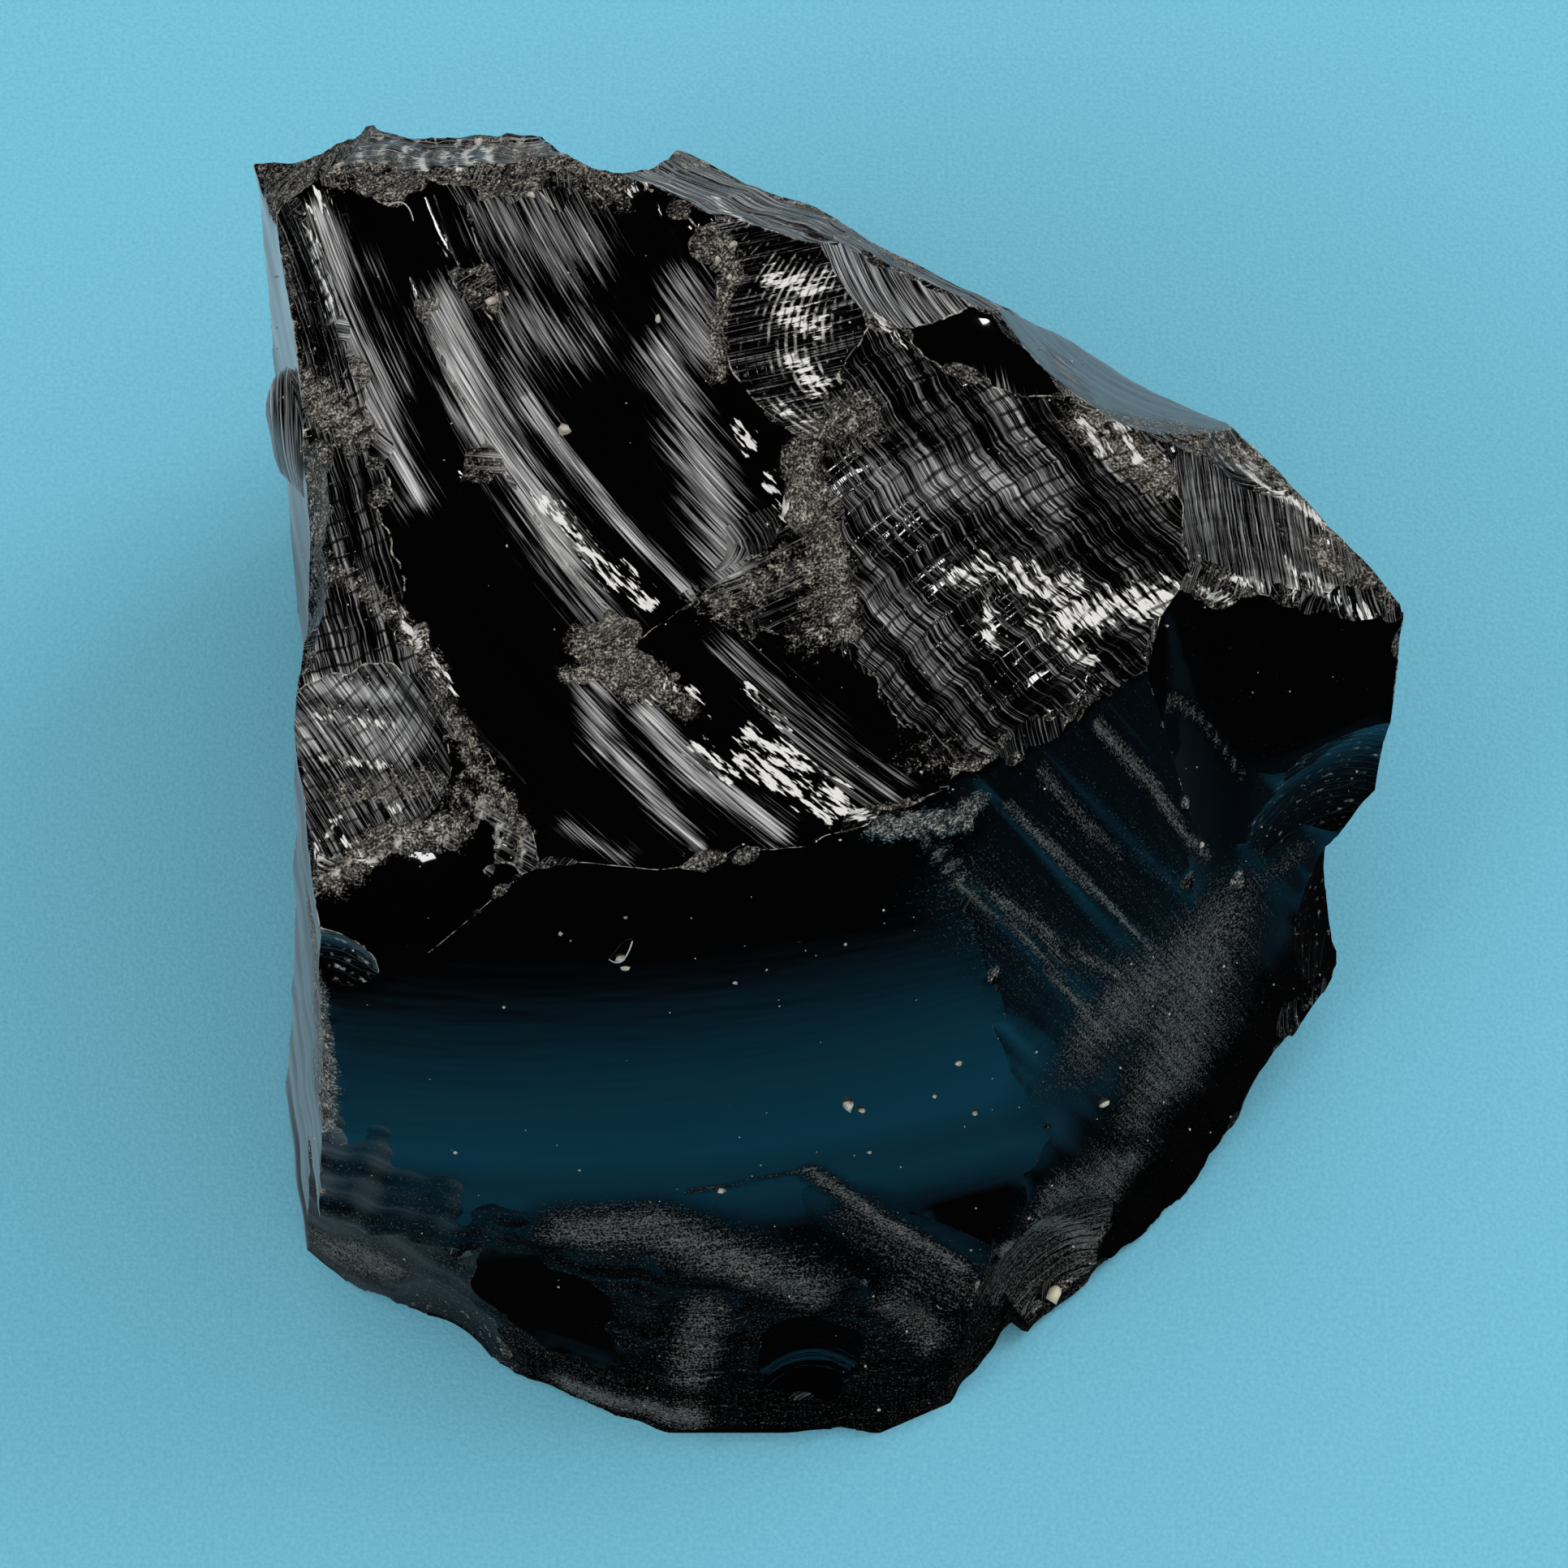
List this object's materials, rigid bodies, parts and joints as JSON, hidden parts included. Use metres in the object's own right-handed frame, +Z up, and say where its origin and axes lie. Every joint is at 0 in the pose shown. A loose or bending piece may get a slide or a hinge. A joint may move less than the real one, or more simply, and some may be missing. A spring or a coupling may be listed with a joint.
{
  "type": "raw obsidian rock",
  "caption": "Rough chunk of black volcanic glass with sharp conchoidal flake scars, lying on one flat side.",
  "frame": {"origin": "centre of the bounding box on the flat side the chunk rests on", "axes": "+Z up out of the resting side, +Y along the length towards the high back rim, +X across the width towards the pointed shoulder"},
  "size_m": [0.061, 0.07, 0.051],
  "materials": {
    "obsidian": "gloss"
  },
  "bodies": {
    "root": {"obsidian_chunk": "obsidian"}
  },
  "joints": []
}
